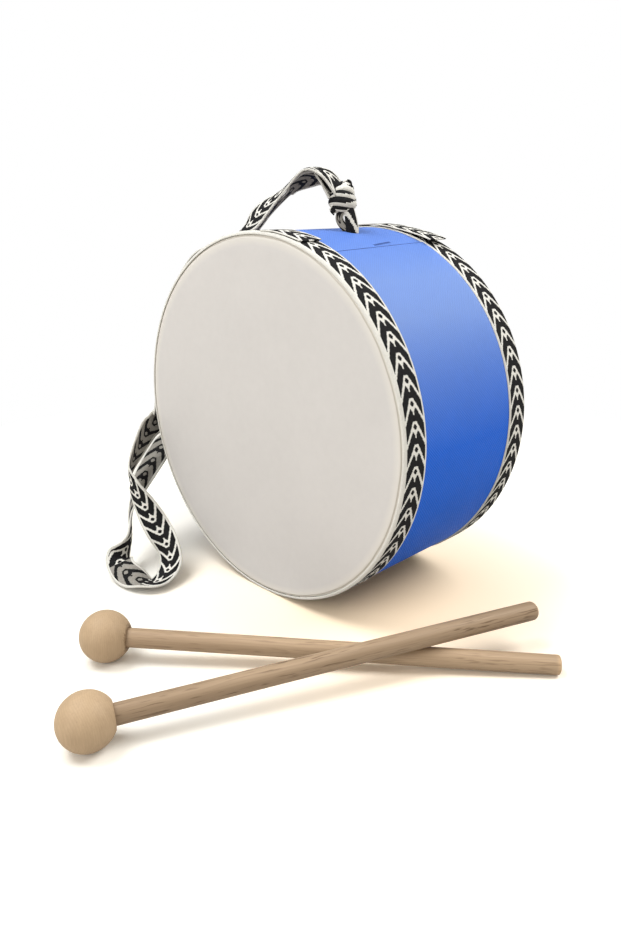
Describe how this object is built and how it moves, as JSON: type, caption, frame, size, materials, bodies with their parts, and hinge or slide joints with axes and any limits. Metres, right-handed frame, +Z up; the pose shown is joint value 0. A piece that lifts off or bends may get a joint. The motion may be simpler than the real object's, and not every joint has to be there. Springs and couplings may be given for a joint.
{
  "type": "child's drum with mallets",
  "caption": "Small lying drum with a covered shell, a head at each end, ribbon-bound rims, a knotted shoulder strap and ball-headed wooden mallets.",
  "frame": {"origin": "on the floor, under the middle of the box around the drum and the mallets, the strap left out", "axes": "+Z up; the drum lies on its curved side with its axis along Y, and its playing head faces -Y"},
  "size_m": [0.2826, 0.258, 0.2309],
  "materials": {
    "board": "bent plywood, plain",
    "cover": "plastic-coated blue sheet with a fine woven emboss, soft sheen",
    "head": "matt off-white drum skin",
    "ring": "plain sawn wood",
    "ribbon": "woven ribbon, black chevrons on a cream ground",
    "peg": "plain dowel",
    "ball": "turned beech, fine sanded, unvarnished",
    "dowel": "beech dowel with brown flecks along the grain"
  },
  "bodies": {
    "drum": {"shell_tube": "board", "shell_cover": "cover", "front_head": "head", "rear_head": "head", "front_inner_ring": "ring", "rear_inner_ring": "ring", "front_band": "ribbon", "rear_band": "ribbon", "strap_ribbon": "ribbon", "strap_top_knot": "ribbon", "strap_top_peg": "peg"},
    "mallet_1": {"mallet_1_ball": "ball", "mallet_1_stick": "dowel"},
    "mallet_2": {"mallet_2_ball": "ball", "mallet_2_stick": "dowel"}
  },
  "joints": [
    {"name": "mallet_2_lift", "type": "slide", "parent": "drum", "child": "mallet_2", "axis": [0, 0, 1], "range_m": [0, 0.26]},
    {"name": "mallet_1_lift", "type": "slide", "parent": "mallet_2", "child": "mallet_1", "axis": [0, 0, 1], "range_m": [0, 0.26]}
  ]
}
